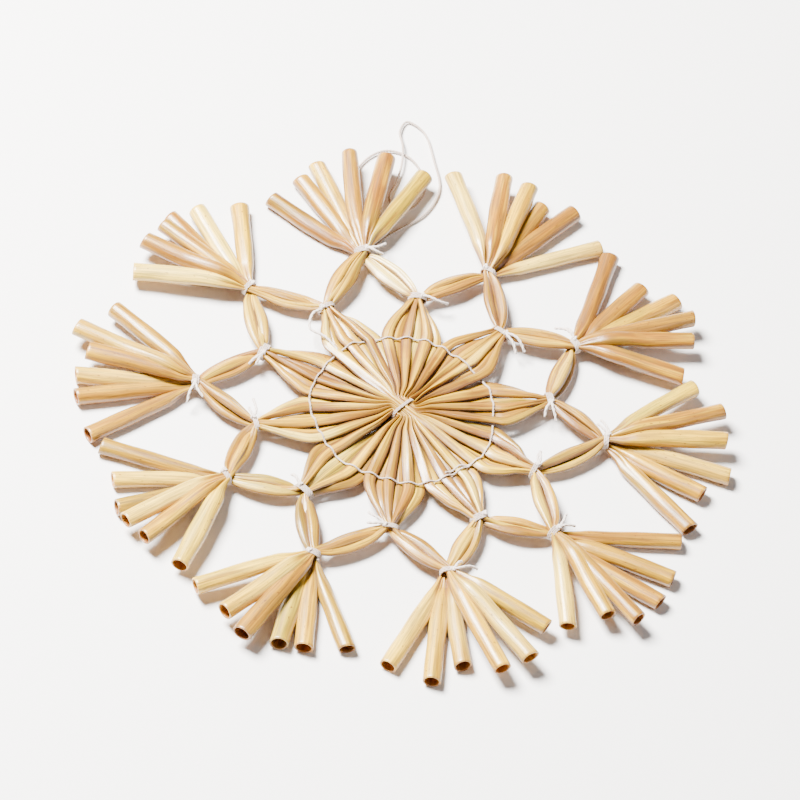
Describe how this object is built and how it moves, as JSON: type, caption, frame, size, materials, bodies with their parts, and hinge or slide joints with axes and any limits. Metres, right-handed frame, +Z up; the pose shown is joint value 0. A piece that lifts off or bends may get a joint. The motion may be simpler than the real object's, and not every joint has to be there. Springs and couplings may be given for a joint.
{
  "type": "straw snowflake ornament",
  "caption": "Flat snowflake ornament of whole straws tied with cotton thread: a spoked disc, petals and open fans, with a hanging loop.",
  "frame": {"origin": "middle of the underside of the straw work, measured without the hanging loop", "axes": "+Z up out of the flat ornament as it lies; +X along the straw bundle tied in the centre, towards one fan; +Y across it"},
  "size_m": [0.1488, 0.1484, 0.0058],
  "materials": {
    "straw": "natural dried cereal straw, satin, pale gold to tan",
    "thread": "undyed two-ply cotton thread, matt off-white"
  },
  "bodies": {
    "root": {"straw_01": "straw", "straw_02": "straw", "straw_03": "straw", "straw_04": "straw", "straw_05": "straw", "straw_06": "straw", "straw_07": "straw", "straw_08": "straw", "straw_09": "straw", "straw_10": "straw", "straw_11": "straw", "straw_12": "straw", "straw_13": "straw", "straw_14": "straw", "straw_15": "straw", "straw_16": "straw", "straw_17": "straw", "straw_18": "straw", "straw_19": "straw", "straw_20": "straw", "straw_21": "straw", "straw_22": "straw", "straw_23": "straw", "straw_24": "straw", "straw_25": "straw", "straw_26": "straw", "straw_27": "straw", "straw_28": "straw", "straw_29": "straw", "straw_30": "straw", "inner_tie_01": "thread", "inner_tie_02": "thread", "inner_tie_03": "thread", "inner_tie_04": "thread", "inner_tie_05": "thread", "inner_tie_06": "thread", "inner_tie_07": "thread", "inner_tie_08": "thread", "inner_tie_09": "thread", "inner_tie_10": "thread", "outer_tie_01": "thread", "outer_tie_02": "thread", "outer_tie_03": "thread", "outer_tie_04": "thread", "outer_tie_05": "thread", "outer_tie_06": "thread", "outer_tie_07": "thread", "outer_tie_08": "thread", "outer_tie_09": "thread", "outer_tie_10": "thread", "ring_thread": "thread", "centre_tie": "thread", "hanging_loop": "thread"}
  },
  "joints": []
}
